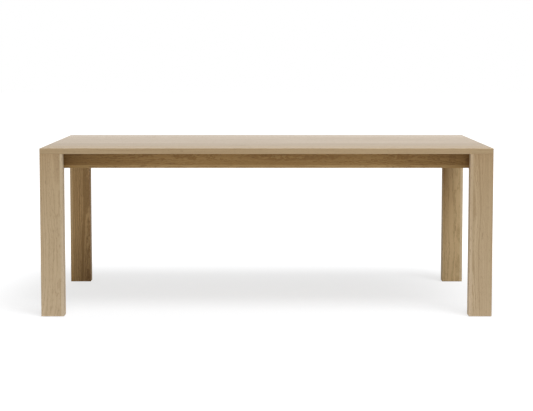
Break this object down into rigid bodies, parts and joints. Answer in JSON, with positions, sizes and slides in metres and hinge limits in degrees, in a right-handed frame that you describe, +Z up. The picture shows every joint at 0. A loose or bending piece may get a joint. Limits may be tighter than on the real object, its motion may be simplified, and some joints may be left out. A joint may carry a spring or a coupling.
{
  "type": "parsons dining table",
  "caption": "Rectangular parsons dining table in light natural oak: flat slab top over box legs at its very corners, with aprons set back under it.",
  "frame": {"origin": "on the floor under the middle of the top", "axes": "+X along the table, -Y out of its front, +Z up"},
  "size_m": [2.032, 0.914, 0.762],
  "materials": {
    "top_oak": "matte, light natural oak",
    "leg_oak": "matte, light natural oak",
    "leg_side_oak": "matte, light natural oak, paler board",
    "apron_oak": "matte, light natural oak",
    "strip_oak": "matte, light natural oak, paler strip",
    "block_wood": "bare sawn wood",
    "dowel_beech": "bare turned wood",
    "zinc_steel": "bright zinc plated",
    "insert_brass": "plain",
    "glide_plastic": "matte brown"
  },
  "bodies": {
    "root": {"apron_back": "apron_oak", "apron_back_edge_strip": "strip_oak", "apron_dowels": "dowel_beech", "apron_front": "apron_oak", "apron_front_edge_strip": "strip_oak", "apron_left": "apron_oak", "apron_left_edge_strip": "strip_oak", "apron_right": "apron_oak", "apron_right_edge_strip": "strip_oak", "batten_screws": "zinc_steel", "bracket_screws": "zinc_steel", "corner_block_back_left": "block_wood", "corner_block_back_right": "block_wood", "corner_block_front_left": "block_wood", "corner_block_front_right": "block_wood", "corner_block_screws": "zinc_steel", "corner_top_screws": "zinc_steel", "cross_batten_left": "block_wood", "cross_batten_right": "block_wood", "glide_back_left": "glide_plastic", "glide_back_right": "glide_plastic", "glide_front_left": "glide_plastic", "glide_front_right": "glide_plastic", "leg_back_left_core": "block_wood", "leg_back_left_foot_plug": "block_wood", "leg_back_left_inner_narrow_board": "leg_side_oak", "leg_back_left_inner_wide_board": "leg_oak", "leg_back_left_outer_narrow_board": "leg_side_oak", "leg_back_left_outer_wide_board": "leg_oak", "leg_back_right_core": "block_wood", "leg_back_right_foot_plug": "block_wood", "leg_back_right_inner_narrow_board": "leg_side_oak", "leg_back_right_inner_wide_board": "leg_oak", "leg_back_right_outer_narrow_board": "leg_side_oak", "leg_back_right_outer_wide_board": "leg_oak", "leg_bolt_washers": "zinc_steel", "leg_bolts": "zinc_steel", "leg_front_left_core": "block_wood", "leg_front_left_foot_plug": "block_wood", "leg_front_left_inner_narrow_board": "leg_side_oak", "leg_front_left_inner_wide_board": "leg_oak", "leg_front_left_outer_narrow_board": "leg_side_oak", "leg_front_left_outer_wide_board": "leg_oak", "leg_front_right_core": "block_wood", "leg_front_right_foot_plug": "block_wood", "leg_front_right_inner_narrow_board": "leg_side_oak", "leg_front_right_inner_wide_board": "leg_oak", "leg_front_right_outer_narrow_board": "leg_side_oak", "leg_front_right_outer_wide_board": "leg_oak", "leg_inserts": "insert_brass", "tabletop_board_1": "top_oak", "tabletop_board_2": "top_oak", "tabletop_board_3": "top_oak", "tabletop_board_4": "top_oak", "tabletop_board_5": "top_oak", "tabletop_board_6": "top_oak", "top_brackets": "zinc_steel"}
  },
  "joints": []
}
